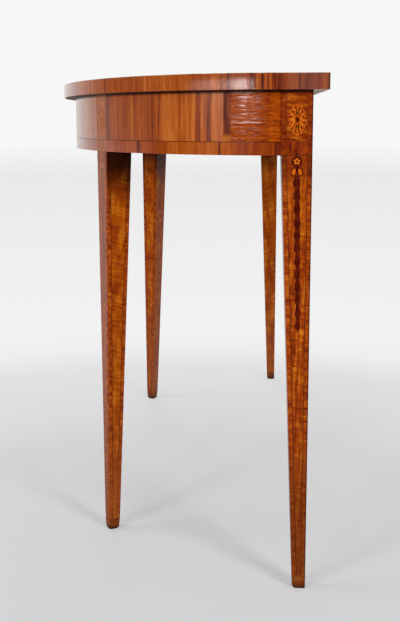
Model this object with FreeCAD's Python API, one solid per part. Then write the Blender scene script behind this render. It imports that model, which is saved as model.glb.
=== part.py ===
import FreeCAD, Part
import math
import os
from collections import namedtuple

# Demilune side table. The bow faces -Y, the straight back faces +Y, the feet stand on Z = 0.
# The origin is on the floor under the middle of the top. All sizes are in millimetres.

# Overall
table_width = 1372.0
table_depth = 508.0
table_height = 838.0
frieze_height = 100.0
veneer = 1.2

# Top: three boards glued edge to edge, veneered above and round the bow
top_thickness = 25.0
top_overhang = 23.0
back_board_width = 170.0
top_crossband_width = 45.0
top_line_width = 1.5

# Square legs, plumb outside and tapered inside
leg_head = 48.0
leg_foot = 21.0
front_leg_spacing = 876.0
leg_crossband_width = 7.0
leg_line_width = 1.0
cuff_height = 22.0

# Bow rails laid in courses of bricks, with tenons on the middle course
bow_rail_thickness = 27.0
course_count = 3
end_rail_bricks = 2
front_rail_bricks = 4
frieze_crossband_width = 20.0
frieze_line_width = 1.2

# Straight rails
back_rail_thickness = 22.0
back_rail_setback = 2.0
cross_rail_thickness = 25.0
cross_rail_height = 70.0

# Mortise and tenon joints
tenon_thickness = 10.0
tenon_length = 20.0
tenon_setback = 9.0
cross_tenon_length = 12.0
mortise_clearance = 0.2
mortise_end_gap = 1.0

# How far a solid runs past the face that it joins or cuts
overlap = 4.0

# Screws that hold the top, each in a chiselled pocket inside a rail
front_screw_spacing = 460.0
back_screw_spacing = 700.0
screw_inset = 9.0
screw_hold = 25.0
screw_bite = 16.0
screw_diameter = 4.8
screw_head_diameter = 8.8
screw_head_height = 2.6
screw_hole_clearance = 0.1
screw_tip_gap = 1.0
pocket_width = 18.0
pocket_height = 30.0
pocket_depth = 16.0

# Glue blocks
leg_block_size = 19.0
leg_block_height = 60.0
top_block_size = 18.0
top_block_length = 60.0
front_block_spacing = 220.0
back_block_spacing = 360.0

# Inlaid oval patera on each leg head, measured up from the bottom of the frieze
patera_height = 56.0
patera_width = 27.0
patera_length = 47.0

# Husk chain on each leg, measured down from the bottom of the frieze
husk_chain_drop = 31.0
husk_count = 12
husk_length = 19.7
husk_gap = 0.8
husk_shoulder_drop = 7.0
husk_shoulder_width = 8.0
husk_side_tip_drop = 16.5
husk_top_width = 11.0
husk_bottom_width = 7.6

# Worked out from the sizes above
V = FreeCAD.Vector
top_z = table_height - top_thickness
frieze_z = top_z - frieze_height
course_height = frieze_height / course_count
tenon_z = frieze_z + course_height
back_y = table_depth / 2
leg_rear_y = back_y - top_overhang
bow_centre_y = leg_rear_y - leg_head
bow_x = table_width / 2 - top_overhang
bow_y = table_depth - 2 * top_overhang - leg_head
back_rail_rear_y = leg_rear_y - back_rail_setback
back_rail_front_y = back_rail_rear_y - back_rail_thickness
half_head = leg_head / 2
reach = table_width + table_depth


# Plan of the bow

def bow_arc(growth):
    """Half ellipse in plan, growth outside the frieze's face."""
    ellipse = Part.Ellipse(V(0, bow_centre_y, 0), bow_x + growth, bow_y + growth)
    return Part.ArcOfEllipse(ellipse, math.pi, 2 * math.pi).toShape()


def plate(edges, z_low, z_high):
    wire = Part.Wire(Part.sortEdges(edges)[0])
    wire.translate(V(0, 0, z_low))
    return Part.Face(wire).extrude(V(0, 0, z_high - z_low))


def demilune(growth, back, z_low, z_high):
    """Plate with the table's plan: the bow, a short straight return each side and the straight back."""
    half = bow_x + growth
    right = V(half, bow_centre_y, 0)
    left = V(-half, bow_centre_y, 0)
    right_back = V(half, back, 0)
    left_back = V(-half, back, 0)
    sides = [(right, right_back), (right_back, left_back), (left_back, left)]
    return plate([bow_arc(growth)] + [Part.makeLine(a, b) for a, b in sides], z_low, z_high)


def bow_ring(outer_inset, inner_inset, z_low, z_high):
    """Half ring that follows the bow, between two insets from the frieze's face."""
    ends = []
    for side in (1, -1):
        outer = V(side * (bow_x - outer_inset), bow_centre_y, 0)
        inner = V(side * (bow_x - inner_inset), bow_centre_y, 0)
        ends.append(Part.makeLine(outer, inner))
    return plate([bow_arc(-outer_inset), bow_arc(-inner_inset)] + ends, z_low, z_high)


def bow_point(phi, inset):
    return V((bow_x - inset) * math.cos(phi), bow_centre_y - (bow_y - inset) * math.sin(phi), 0)


def bow_speed(phi):
    """Length along the bow for each radian of phi."""
    return math.hypot(bow_x * math.sin(phi), bow_y * math.cos(phi))


def bow_phi(x, inset):
    return math.acos(x / (bow_x - inset))


def bow_placement(phi, inset):
    """Local X points out of the bow, local Y runs along it towards the right end."""
    turn = math.degrees(math.atan2(-math.sin(phi) / bow_y, math.cos(phi) / bow_x))
    rotation = FreeCAD.Rotation(V(0, 0, 1), turn)
    out = rotation.multVec(V(1, 0, 0))
    return FreeCAD.Placement(bow_point(phi, 0) - out * inset, rotation)


# Small helpers

def box(x_range, y_range, z_range):
    low = V(min(x_range), min(y_range), min(z_range))
    high = V(max(x_range), max(y_range), max(z_range))
    return Part.makeBox(high.x - low.x, high.y - low.y, high.z - low.z, low)


def around(middle, width):
    return (middle - width / 2, middle + width / 2)


def placed(shape, placement):
    moved = shape.copy()
    moved.Placement = placement.multiply(moved.Placement)
    return moved


def mirrored(shape):
    return shape.mirror(V(0, 0, 0), V(1, 0, 0))


def both_sides(shapes):
    return list(shapes) + [mirrored(shape) for shape in shapes]


def write(name, shapes):
    solids = [solid for shape in shapes for solid in shape.Solids]
    whole = solids[0] if len(solids) == 1 else Part.makeCompound(solids)
    whole.exportStep(f"parts/{name}.step")


# Where the right-hand legs stand. Local X points out of the leg's outer face, which is at X = 0.
# The front leg's flat head spans a chord of the bow, so its two edges lie flush with the frieze.

front_phi = bow_phi(front_leg_spacing / 2, 0)
head_phi = half_head / bow_speed(front_phi)
chord_depth = half_head ** 2 * bow_x * bow_y / (2 * bow_speed(front_phi) ** 3)
front_leg_place = bow_placement(front_phi, chord_depth)
back_leg_place = FreeCAD.Placement(V(bow_x, leg_rear_y - half_head, 0), FreeCAD.Rotation())


# Joints between rails and legs, in a leg's own frame

def bow_tenon(side, clearance, end_gap, root):
    """Tenon of a bow rail in the leg head's side face: side is 1 or -1 along local Y."""
    x_range = around(-tenon_setback - tenon_thickness / 2, tenon_thickness + 2 * clearance)
    tip = side * (half_head - tenon_length - end_gap)
    z_range = around(tenon_z + course_height / 2, course_height + 2 * clearance)
    return box(x_range, (tip, side * (half_head + root)), z_range)


def back_tenon(clearance, end_gap, root):
    """Tenon of the back rail in the back leg head's inner face."""
    x_range = (-leg_head - root, -leg_head + tenon_length + end_gap)
    middle = half_head - back_rail_setback - back_rail_thickness / 2
    z_range = around(tenon_z + course_height / 2, course_height + 2 * clearance)
    return box(x_range, around(middle, tenon_thickness + 2 * clearance), z_range)


def cross_tenons(clearance, end_gap):
    """Tenons at the two ends of the cross rail, in the table's frame."""
    front_y = bow_centre_y - bow_y + bow_rail_thickness
    x_range = around(0, tenon_thickness + 2 * clearance)
    z_range = around(tenon_z + course_height / 2, course_height + 2 * clearance)
    depth = cross_tenon_length + end_gap
    front = box(x_range, (front_y - depth, front_y + overlap), z_range)
    back = box(x_range, (back_rail_front_y - overlap, back_rail_front_y + depth), z_range)
    return front, back


def mortise(tenon, *place):
    return tenon(*place, mortise_clearance, mortise_end_gap, overlap)


def tenon_piece(tenon, *place):
    return tenon(*place, 0, 0, overlap)


# Screws and the pockets and holes that they need

screw_line = bow_rail_thickness - screw_inset
front_screw_phi = bow_phi(front_screw_spacing / 2, screw_line)
front_screw_place = bow_placement(front_screw_phi, bow_rail_thickness)
into_back_rail = FreeCAD.Rotation(V(0, 0, 1), 90)
back_screw_place = FreeCAD.Placement(V(back_screw_spacing / 2, back_rail_front_y, 0), into_back_rail)
screw_places = [front_screw_place, back_screw_place]
screw_seat_z = top_z - screw_hold


def upright(diameter, z_low, z_high):
    """Cylinder on the screw's axis, which stands inside the rail at local X = screw_inset."""
    return Part.makeCylinder(diameter / 2, z_high - z_low, V(screw_inset, 0, z_low))


def screw(place):
    head = upright(screw_head_diameter, screw_seat_z - screw_head_height, screw_seat_z)
    shank = upright(screw_diameter, screw_seat_z, top_z + screw_bite)
    return placed(head.fuse(shank), place)


def screw_room(place):
    """Pocket under the screw's head, and the hole above it up into the top."""
    z_range = (screw_seat_z - pocket_height, screw_seat_z)
    pocket = box((-overlap, pocket_depth), around(0, pocket_width), z_range)
    hole_diameter = screw_diameter + 2 * screw_hole_clearance
    hole = upright(hole_diameter, screw_seat_z, top_z + screw_bite + screw_tip_gap)
    return placed(pocket.fuse(hole), place)


screw_rooms = both_sides([screw_room(place) for place in screw_places])


# Top

def build_top():
    """The front and middle boards share evenly what the back board leaves of the depth."""
    core_high = table_height - veneer
    core = demilune(top_overhang - veneer, back_y, top_z, core_high).cut(screw_rooms)
    back_joint = back_y - back_board_width
    joints = [-reach, (back_joint - back_y) / 2, back_joint, reach]
    for name, low, high in zip(("front", "middle", "back"), joints, joints[1:]):
        write(f"top_board_{name}", [core.common(box((-reach, reach), (low, high), (0, reach)))])
    edge = demilune(top_overhang, back_y, top_z, core_high)
    write("top_edge_band", [edge.cut(demilune(top_overhang - veneer, back_y, 0, reach))])
    insets = [0, top_crossband_width, top_crossband_width + top_line_width]
    sheets = [demilune(top_overhang - inset, back_y - inset, core_high, table_height) for inset in insets]
    write("top_crossband", [sheets[0].cut(sheets[1])])
    write("top_stringing", [sheets[1].cut(sheets[2])])
    write("top_field", [sheets[2]])


# Bow rails and their veneers. A zone is the part of the bow between two leg heads.

def end_zone(shape):
    beyond = box((-reach, reach), (half_head, half_head + reach), (-reach, reach))
    return shape.common(placed(beyond, front_leg_place))


def front_zone(shape):
    before = placed(box((-reach, reach), (-half_head - reach, -half_head), (-reach, reach)), front_leg_place)
    return shape.common(before).common(mirrored(before))


def split_course(course, phi_low, phi_high, count, staggered):
    """Bricks of one course, from the right end on. Joints stand square to the bow."""
    if staggered:
        shares = [(i + 0.5) / count for i in range(count)]
    else:
        shares = [i / count for i in range(1, count)]
    bricks = []
    rest = course
    for share in shares:
        phi = phi_low + share * (phi_high - phi_low)
        right_of_joint = placed(box((-reach, reach), (0, reach), (-reach, reach)), bow_placement(phi, 0))
        bricks.append(rest.common(right_of_joint))
        rest = rest.cut(right_of_joint)
    return bricks + [rest]


def rail_courses(rail, phi_low, phi_high, count, right_tenon, left_tenon):
    """Courses from the bottom up, each a list of bricks. Every second one is staggered and has the tenons."""
    courses = []
    for level in range(course_count):
        low = frieze_z + level * course_height
        course = rail.common(box((-reach, reach), (-reach, reach), (low, low + course_height)))
        staggered = level % 2 == 1
        bricks = split_course(course, phi_low, phi_high, count, staggered)
        if staggered:
            bricks[0] = bricks[0].fuse(right_tenon).removeSplitter()
            bricks[-1] = bricks[-1].fuse(left_tenon).removeSplitter()
        courses.append(bricks)
    return courses


def write_courses(name, courses):
    for level, bricks in zip(("lower", "middle", "upper"), courses):
        write(f"{name}_{level}_course", bricks)


def build_bow_rails():
    core = bow_ring(veneer, bow_rail_thickness, frieze_z, top_z).cut(screw_rooms)
    front_mortise = cross_tenons(mortise_clearance, mortise_end_gap)[0]
    front_tenon = placed(tenon_piece(bow_tenon, -1), front_leg_place)
    front = front_zone(core).cut(front_mortise)
    span = (front_phi + head_phi, math.pi - front_phi - head_phi)
    courses = rail_courses(front, *span, front_rail_bricks, front_tenon, mirrored(front_tenon))
    write_courses("front_rail", courses)
    back_end = placed(tenon_piece(bow_tenon, -1), back_leg_place)
    front_end = placed(tenon_piece(bow_tenon, 1), front_leg_place)
    span = (0, front_phi - head_phi)
    courses = rail_courses(end_zone(core), *span, end_rail_bricks, back_end, front_end)
    write_courses("end_rail", [both_sides(bricks) for bricks in courses])


def build_frieze_veneers():
    line_z = frieze_z + frieze_crossband_width
    panel_z = line_z + frieze_line_width
    layers = {"crossband": (frieze_z, line_z), "stringing": (line_z, panel_z), "veneer": (panel_z, top_z)}
    for name, (low, high) in layers.items():
        ring = bow_ring(0, veneer, low, high)
        write(f"frieze_{name}", [front_zone(ring)] + both_sides([end_zone(ring)]))


# Straight rails

def build_straight_rails():
    half = bow_x - leg_head
    y_range = (back_rail_front_y, back_rail_rear_y)
    rail = box((-half, half), y_range, (frieze_z, top_z))
    tenon = placed(tenon_piece(back_tenon), back_leg_place)
    mortise_room = cross_tenons(mortise_clearance, mortise_end_gap)[1]
    rail = rail.fuse(both_sides([tenon])).removeSplitter()
    write("back_rail", [rail.cut(screw_rooms + [mortise_room])])
    front_y = bow_centre_y - bow_y + bow_rail_thickness - overlap
    z_range = (top_z - cross_rail_height, top_z)
    cross = box(around(0, cross_rail_thickness), (front_y, back_rail_front_y), z_range)
    cross = cross.cut(bow_ring(0, bow_rail_thickness, frieze_z, top_z))
    write("cross_rail", [cross.fuse(cross_tenons(0, 0)).removeSplitter()])


# Legs, in their own frame. A face has a point at (across, height), two edges across and an inward direction.

LegFace = namedtuple("LegFace", "point low high lap inward")


def leg_width(z):
    return leg_foot + (leg_head - leg_foot) * z / frieze_z


def front_low(z):
    return -leg_width(z) / 2


def front_high(z):
    return leg_width(z) / 2


def back_low(z):
    return half_head - leg_width(z)


def back_high(z):
    return half_head


def outer_face(low, high):
    return LegFace(lambda q, z: V(0, q, z), low, high, 0, V(-veneer, 0, 0))


def inner_face(low, high):
    return LegFace(lambda q, z: V(-leg_width(z), q, z), low, high, 0, V(veneer, 0, 0))


def side_face(edge, inward):
    """Side faces run between the outer and inner veneers, which lap over their edges."""
    return LegFace(lambda q, z: V(q, edge(z), z), lambda z: -leg_width(z), lambda z: 0, veneer, inward)


def strip(face, near, far, z_low, z_high):
    """Flat piece of veneer on a leg face. near and far give its edges across the face at a height."""
    edges = [(near, z_low), (far, z_low), (far, z_high), (near, z_high)]
    corners = [face.point(edge(z), z) for edge, z in edges]
    return Part.Face(Part.makePolygon(corners + corners[:1])).extrude(face.inward)


def inset_edges(face, inset):
    return (lambda z: face.low(z) + inset), (lambda z: face.high(z) - inset)


def banded_face(face, z_low, z_high):
    """A panel between two lines and two crossbands, all parallel to the leg's own edges."""
    outside = inset_edges(face, face.lap)
    band = inset_edges(face, leg_crossband_width)
    line = inset_edges(face, leg_crossband_width + leg_line_width)
    bands = [strip(face, outside[0], band[0], z_low, z_high), strip(face, band[1], outside[1], z_low, z_high)]
    lines = [strip(face, band[0], line[0], z_low, z_high), strip(face, line[1], band[1], z_low, z_high)]
    return strip(face, *line, z_low, z_high), bands, lines


def hexahedron(bottom, top):
    sides = [[bottom[i - 1], bottom[i], top[i], top[i - 1]] for i in range(4)]
    faces = [Part.Face(Part.makePolygon(loop + loop[:1])) for loop in [bottom, top] + sides]
    solid = Part.makeSolid(Part.makeShell(faces))
    solid.fixTolerance(1e-7)
    return solid if solid.Volume > 0 else solid.reversed()


def leg_core(low, high, rear_veneer, mortises):
    """Solid leg under its veneers, with the head's mortises."""
    loops = []
    for z in (0, frieze_z):
        inner = veneer - leg_width(z)
        near = low(z) + veneer
        far = high(z) - rear_veneer
        loops.append([V(-veneer, near, z), V(-veneer, far, z), V(inner, far, z), V(inner, near, z)])
    head = box((-leg_head, -veneer), (-half_head, half_head), (frieze_z, top_z))
    return head.fuse(hexahedron(*loops)).removeSplitter().cut(mortises)


# Inlays on the outer face of a leg, cut through the veneer

def inlay(edges):
    return Part.Face(Part.Wire(Part.sortEdges(edges)[0])).extrude(V(-veneer, 0, 0))


def oval(centre, half_width, half_length):
    top = centre + V(0, 0, half_length)
    return inlay([Part.Ellipse(top, centre + V(0, half_width, 0), centre).toShape()])


def husk(top, width, length):
    """Bellflower: a pointed neck, two shoulders, two side tips and a longer middle tip."""
    shoulder_width = husk_shoulder_width * width / husk_top_width
    outline = [(0, 0), (shoulder_width, husk_shoulder_drop), (width, husk_side_tip_drop), (0, length),
               (-width, husk_side_tip_drop), (-shoulder_width, husk_shoulder_drop)]
    corners = [top + V(0, across / 2, -down) for across, down in outline]
    return inlay(Part.makePolygon(corners + corners[:1]).Edges)


def patera():
    centre = V(0, 0, frieze_z + patera_height)
    return oval(centre, patera_width / 2, patera_length / 2)


def husk_chain(low, high):
    """Husks down the middle of a leg's outer face, each a little narrower than the last."""
    husks = []
    for i in range(husk_count):
        z = frieze_z - husk_chain_drop - i * (husk_length + husk_gap)
        width = husk_top_width + (husk_bottom_width - husk_top_width) * i / (husk_count - 1)
        husks.append(husk(V(0, (low(z) + high(z)) / 2, z), width, husk_length))
    return husks


# Veneers of one leg, and the whole leg set

def head_veneers(oval_inlay):
    """Crossbands, lines and panel on the outer face of a leg head, in line with the frieze's own."""
    face = outer_face(lambda z: -half_head, lambda z: half_head)
    line_z = frieze_z + frieze_crossband_width
    panel_z = line_z + frieze_line_width
    panel, bands, lines = banded_face(face, panel_z, top_z)
    bands.append(strip(face, face.low, face.high, frieze_z, line_z))
    lines.append(strip(face, face.low, face.high, line_z, panel_z))
    return panel.cut(oval_inlay), bands, lines


def leg_pieces(low, high, rear_bare, mortises):
    """All pieces of one leg, by kind. A back leg's rear face, against the wall, is bare."""
    oval_inlay = patera()
    husks = husk_chain(low, high)
    sides = [side_face(low, V(0, veneer, 0))]
    if not rear_bare:
        sides.append(side_face(high, V(0, -veneer, 0)))
    outer = outer_face(low, high)
    inner = inner_face(low, high)
    head_panel, bands, lines = head_veneers(oval_inlay)
    panels = [head_panel, strip(inner, inner.low, inner.high, cuff_height, frieze_z)]
    for face in [outer] + sides:
        panel, face_bands, face_lines = banded_face(face, cuff_height, frieze_z)
        panels.append(panel.cut(husks) if face is outer else panel)
        bands += face_bands
        lines += face_lines
    cuffs = [strip(face, *inset_edges(face, face.lap), 0, cuff_height) for face in [outer, inner] + sides]
    core = leg_core(low, high, 0 if rear_bare else veneer, mortises)
    own = {"leg": [core], "leg_veneers": panels, "leg_crossbands": bands,
           "leg_stringing": lines, "leg_cuff": cuffs}
    shared = {"paterae": [oval_inlay], "husks": husks}
    return own, shared


def build_legs():
    front_mortises = [mortise(bow_tenon, 1), mortise(bow_tenon, -1)]
    back_mortises = [mortise(bow_tenon, -1), mortise(back_tenon)]
    legs = {"front": (front_leg_place, leg_pieces(front_low, front_high, False, front_mortises)),
            "back": (back_leg_place, leg_pieces(back_low, back_high, True, back_mortises))}
    inlays = {}
    for place_name, (placement, (own, shared)) in legs.items():
        for kind, shapes in own.items():
            right = [placed(shape, placement) for shape in shapes]
            write(f"right_{place_name}_{kind}", right)
            write(f"left_{place_name}_{kind}", [mirrored(shape) for shape in right])
        for kind, shapes in shared.items():
            right = [placed(shape, placement) for shape in shapes]
            inlays.setdefault(kind, []).extend(both_sides(right))
    for kind, shapes in inlays.items():
        write(kind, shapes)


# Glue blocks, rubbed into the corners behind the leg heads and under the top

def build_blocks():
    rail = bow_ring(0, bow_rail_thickness, frieze_z, top_z)
    z_range = (top_z - leg_block_height, top_z)
    depth = (overlap - bow_rail_thickness, -bow_rail_thickness - leg_block_size)
    near = (-half_head, -half_head - leg_block_size)
    far = (half_head, half_head + leg_block_size)
    front_blocks = [placed(box(depth, side, z_range), front_leg_place).cut(rail) for side in (near, far)]
    write("front_leg_blocks", both_sides(front_blocks))
    end_block = placed(box(depth, near, z_range), back_leg_place).cut(rail)
    inside = bow_x - leg_head
    y_range = (back_rail_front_y - leg_block_size, back_rail_front_y)
    rail_block = box((inside - leg_block_size, inside), y_range, z_range)
    write("back_leg_blocks", both_sides([end_block, rail_block]))
    z_range = (top_z - top_block_size, top_z)
    depth = (overlap - bow_rail_thickness, -bow_rail_thickness - top_block_size)
    bow_block = box(depth, around(0, top_block_length), z_range)
    bow_phis = [bow_phi(front_block_spacing / 2, 0), (front_phi - head_phi) / 2]
    bow_blocks = [placed(bow_block, bow_placement(phi, 0)).cut(rail) for phi in bow_phis]
    y_range = (back_rail_front_y - top_block_size, back_rail_front_y)
    back_block = box(around(back_block_spacing / 2, top_block_length), y_range, z_range)
    write("top_blocks", both_sides(bow_blocks + [back_block]))


os.makedirs("parts", exist_ok=True)
build_top()
build_bow_rails()
build_frieze_veneers()
build_straight_rails()
build_legs()
build_blocks()
write("top_screws", both_sides([screw(place) for place in screw_places]))
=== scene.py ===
import math

import bmesh
import bpy
from mathutils import Matrix, Vector


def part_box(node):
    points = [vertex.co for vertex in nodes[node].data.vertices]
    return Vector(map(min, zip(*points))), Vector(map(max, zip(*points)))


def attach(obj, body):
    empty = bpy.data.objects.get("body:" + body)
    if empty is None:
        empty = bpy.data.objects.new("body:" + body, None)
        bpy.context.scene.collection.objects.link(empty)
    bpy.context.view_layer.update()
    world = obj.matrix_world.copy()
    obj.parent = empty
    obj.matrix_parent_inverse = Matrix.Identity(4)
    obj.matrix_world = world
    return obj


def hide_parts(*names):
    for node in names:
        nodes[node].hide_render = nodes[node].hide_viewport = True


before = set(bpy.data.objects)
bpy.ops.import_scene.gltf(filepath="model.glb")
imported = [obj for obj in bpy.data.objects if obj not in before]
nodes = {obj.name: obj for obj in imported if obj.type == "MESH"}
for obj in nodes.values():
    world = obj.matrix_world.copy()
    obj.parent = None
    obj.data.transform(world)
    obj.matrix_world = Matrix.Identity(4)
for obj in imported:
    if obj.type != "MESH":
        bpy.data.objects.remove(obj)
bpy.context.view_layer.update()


# Leg cores
# Each leg is one length of straight-grained beech, planed to a taper below the frieze and left
# square at the head, where the rails' tenons enter. Only the backs of the rear pair stay bare.

leg_names = [f"{side}_{end}_leg" for side in ("right", "left") for end in ("front", "back")]
core_round = 0.0032
merge_distance = 0.00001

# Charts of the table's left half start this far along.
left_shift = 5.0


def linear(colour):
    """Linear colour of an sRGB hex value."""
    channels = [int(colour[i:i + 2], 16) / 255 for i in (1, 3, 5)]
    return [c / 12.92 if c <= 0.04045 else ((c + 0.055) / 1.055) ** 2.4 for c in channels] + [1.0]


def plug(tree, node, inputs):
    """Links or sets a node's inputs. A node given as a value stands for its first output."""
    for socket, value in inputs.items():
        if isinstance(value, bpy.types.Node):
            value = value.outputs[0]
        if isinstance(value, bpy.types.NodeSocket):
            tree.links.new(value, node.inputs[socket])
        else:
            node.inputs[socket].default_value = value


def add(tree, kind, inputs=None, stops=None, **settings):
    """Adds a shader node with its settings, its links or values, and the stops of a colour ramp."""
    node = tree.nodes.new("ShaderNode" + kind)
    for name, value in settings.items():
        setattr(node, name, value)
    plug(tree, node, inputs or {})
    for i, (position, colour) in enumerate(stops or []):
        ramp = node.color_ramp.elements
        stop = ramp[i] if i < 2 else ramp.new(position)
        stop.position = position
        stop.color = linear(colour)
    return node


def wood(name, space, grain, figure, stops, figure_share=0.5, relief=0.0001, roughness=(0.3, 0.4),
         slant=0.0, cloud=None, leaves=None, streaks=None, polish=0.0, polish_roughness=0.2):
    """Wood whose tone comes from fine grain, figure, broad clouds and the leaf it was cut from.

    Grain, figure and cloud are sizes along each axis in metres. Real pores are a tenth of a millimetre
    wide, too fine to show, so the grain is drawn 1 to 3 mm wide. A slant turns the figure, and the clouds
    a little. Leaves are a mean width and their share of the tone. Streaks are starts along the chart with
    a grey shade each.
    """
    cloud_share, cloud_slant = 0.45, slant * 0.3
    leaf_sway, seam_width, seam_tone = 0.4, 0.0008, 0.35
    streak_share, streak_wander, wander_size = 0.55, 0.002, 0.04
    material = bpy.data.materials.new(name)
    material.use_nodes = True
    tree = material.node_tree
    bsdf = tree.nodes["Principled BSDF"]
    place = add(tree, "TexCoord").outputs[space]
    tones = []
    layers = [(grain, 5.0, 0.0), (figure, 4.0, slant)]
    if cloud:
        layers.append((cloud, 2.0, cloud_slant))
    for sizes, detail, turn in layers:
        spot = add(tree, "Mapping", {"Vector": place, "Rotation": (0, 0, turn), "Scale": sizes},
                   vector_type="TEXTURE")
        noise = add(tree, "TexNoise", {"Vector": spot, "Scale": 1.0, "Detail": detail, "Roughness": 0.6,
                                       "Distortion": 0.4})
        tones.append(add(tree, "MapRange", {"Value": noise, "From Min": 0.35, "From Max": 0.65}))
    tone = height = add(tree, "Mix", {0: figure_share, 2: tones[0], 3: tones[1]})
    if cloud:
        tone = add(tree, "Mix", {0: cloud_share, 2: tone, 3: tones[2]})
    if leaves:
        width, share = leaves
        along = add(tree, "SeparateXYZ", {0: place})
        count = add(tree, "Math", {0: along, 1: 1 / width}, operation="MULTIPLY")
        sway = add(tree, "Math", {0: count}, operation="SINE")
        count = add(tree, "Math", {0: sway, 1: leaf_sway, 2: count}, operation="MULTIPLY_ADD")
        number = add(tree, "Math", {0: count}, operation="FLOOR")
        leaf_tone = add(tree, "TexWhiteNoise", {"W": number}, noise_dimensions="1D")
        part = add(tree, "Math", {0: count}, operation="FRACT")
        seam = add(tree, "MapRange", {"Value": part, "From Max": seam_width / width, "To Min": seam_tone,
                                      "To Max": 1.0})
        tone = add(tree, "Mix", {0: share, 2: tone, 3: leaf_tone})
        tone = add(tree, "Math", {0: tone, 1: seam}, operation="MULTIPLY")
    if streaks:
        along = add(tree, "SeparateXYZ", {0: place})
        along = add(tree, "Math", {0: along, 1: left_shift}, operation="FLOORED_MODULO")
        warp = add(tree, "TexNoise", {"Vector": place, "Scale": 1 / wander_size, "Detail": 2.0})
        along = add(tree, "Math", {0: warp, 1: streak_wander, 2: along}, operation="MULTIPLY_ADD")
        greys = [(start, "#" + f"{shade:02x}" * 3) for start, shade in streaks]
        streak = add(tree, "ValToRGB", {"Fac": along}, greys)
        streak.color_ramp.interpolation = "CONSTANT"
        streak_tone = add(tree, "SeparateColor", {0: streak})
        tone = add(tree, "Mix", {0: streak_share, 2: tone, 3: streak_tone})
    ramp = add(tree, "ValToRGB", {"Fac": tone}, stops)
    gloss = add(tree, "MapRange", {"Value": tones[0], "To Min": roughness[1], "To Max": roughness[0]})
    bump = add(tree, "Bump", {"Height": height, "Strength": 1.0, "Distance": relief})
    plug(tree, bsdf, {"Base Color": ramp, "Roughness": gloss, "Normal": bump})
    if polish:
        plug(tree, bsdf, {"Specular IOR Level": 0.05, "Coat Weight": polish,
                          "Coat Roughness": polish_roughness, "Coat Normal": bump})
    return material


def tint_between(material, start, full, colour, most=1.0, patches=None, axis=2, dull=False, below=None):
    """Blends a wood into another colour from one place on an axis to another, evenly or in patches.

    A dull tint takes the polish away with it. One below two heights fades in between them and leaves
    what stands above alone.
    """
    tree = material.node_tree
    bsdf = tree.nodes["Principled BSDF"]
    place = add(tree, "TexCoord").outputs["Object"]
    axes = add(tree, "SeparateXYZ", {0: place}).outputs
    share = add(tree, "MapRange", {"Value": axes[axis], "From Min": start, "From Max": full, "To Max": most})
    if patches:
        noise = add(tree, "TexNoise", {"Vector": place, "Scale": 1 / patches, "Detail": 3.0})
        noise = add(tree, "MapRange", {"Value": noise, "From Min": 0.35, "From Max": 0.6})
        share = add(tree, "Math", {0: share, 1: noise}, operation="MULTIPLY")
    if below:
        under = add(tree, "MapRange", {"Value": axes[2], "From Min": below[0], "From Max": below[1]})
        share = add(tree, "Math", {0: share, 1: under}, operation="MULTIPLY")
    base = bsdf.inputs["Base Color"].links[0].from_socket
    mixed = add(tree, "Mix", {0: share, 6: base, 7: linear(colour)}, data_type="RGBA")
    plug(tree, bsdf, {"Base Color": mixed.outputs[2]})
    if dull:
        coat = bsdf.inputs["Coat Weight"]
        polish = coat.links[0].from_socket if coat.is_linked else coat.default_value
        clean = add(tree, "Math", {0: 1.0, 1: share}, operation="SUBTRACT")
        plug(tree, bsdf, {"Coat Weight": add(tree, "Math", {0: clean, 1: polish}, operation="MULTIPLY")})


def dress(material, *names):
    """Gives CAD nodes a finish."""
    for name in names:
        nodes[name].data.materials.clear()
        nodes[name].data.materials.append(material)


# Planed beech, brown with age: fine upright grain and a dry, dull face.
beech_stops = [(0.0, "#4f2f1a"), (0.5, "#74482a"), (1.0, "#8f6240")]
beech = wood("aged_beech", "Object", grain=(0.0012, 0.0012, 0.05), figure=(0.012, 0.012, 0.2),
             stops=beech_stops, relief=0.00015, roughness=(0.55, 0.75))
dress(beech, *leg_names)

# Soft edges keep the cores inside the worn veneers and feet.
for name in leg_names:
    weld = nodes[name].modifiers.new("joined", "WELD")
    weld.merge_threshold = merge_distance
    soften = nodes[name].modifiers.new("worn", "BEVEL")
    soften.width = core_round
    soften.segments = 3
    soften.use_clamp_overlap = False
    soften.angle_limit = math.radians(60)


# Carcase
# Rails of softwood: the bow built of sawn bricks in three courses, a straight back rail, a cross rail
# and rubbed glue blocks. All of it is bare, and shows only from behind and below.

# Old pine, oxidised brown and dusty, with long grain along the table and darker winter rings.
pine_stops = [(0.0, "#5e4228"), (0.45, "#86643f"), (1.0, "#a78459")]
pine = wood("bare_pine", "Object", grain=(0.09, 0.003, 0.0025), figure=(0.4, 0.03, 0.02), stops=pine_stops,
            relief=0.0002, roughness=(0.65, 0.85))
courses = ("lower", "middle", "upper")
rail_names = [f"{zone}_rail_{course}_course" for zone in ("front", "end") for course in courses]
block_names = ["front_leg_blocks", "back_leg_blocks", "top_blocks"]
dress(pine, "back_rail", "cross_rail", *rail_names, *block_names)


# Top boards
# Three pine boards glued edge to edge. Their bare undersides show at the overhang, greyer than the
# carcase from handling and dust, and painted pale behind the back legs, as painted light from below.

leg_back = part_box("right_back_leg")[1].y
board_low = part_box("top_board_back")[0].z
skin_low, skin_high = board_low + 0.0007, board_low + 0.0009

# The same old pine, dulled by hands. The pale strip of painted light is only the skin of the underside.
board_stops = [(0.0, "#4a3626"), (0.5, "#6a5038"), (1.0, "#8a6c4e")]
board_pine = wood("handled_pine", "Object", grain=(0.12, 0.003, 0.003), figure=(0.5, 0.04, 0.02),
                  stops=board_stops, relief=0.0002, roughness=(0.6, 0.8))
tint_between(board_pine, leg_back - 0.001, leg_back + 0.001, "#faeadb", axis=1,
             below=(skin_high, skin_low))
dress(board_pine, "top_board_front", "top_board_middle", "top_board_back")


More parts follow.
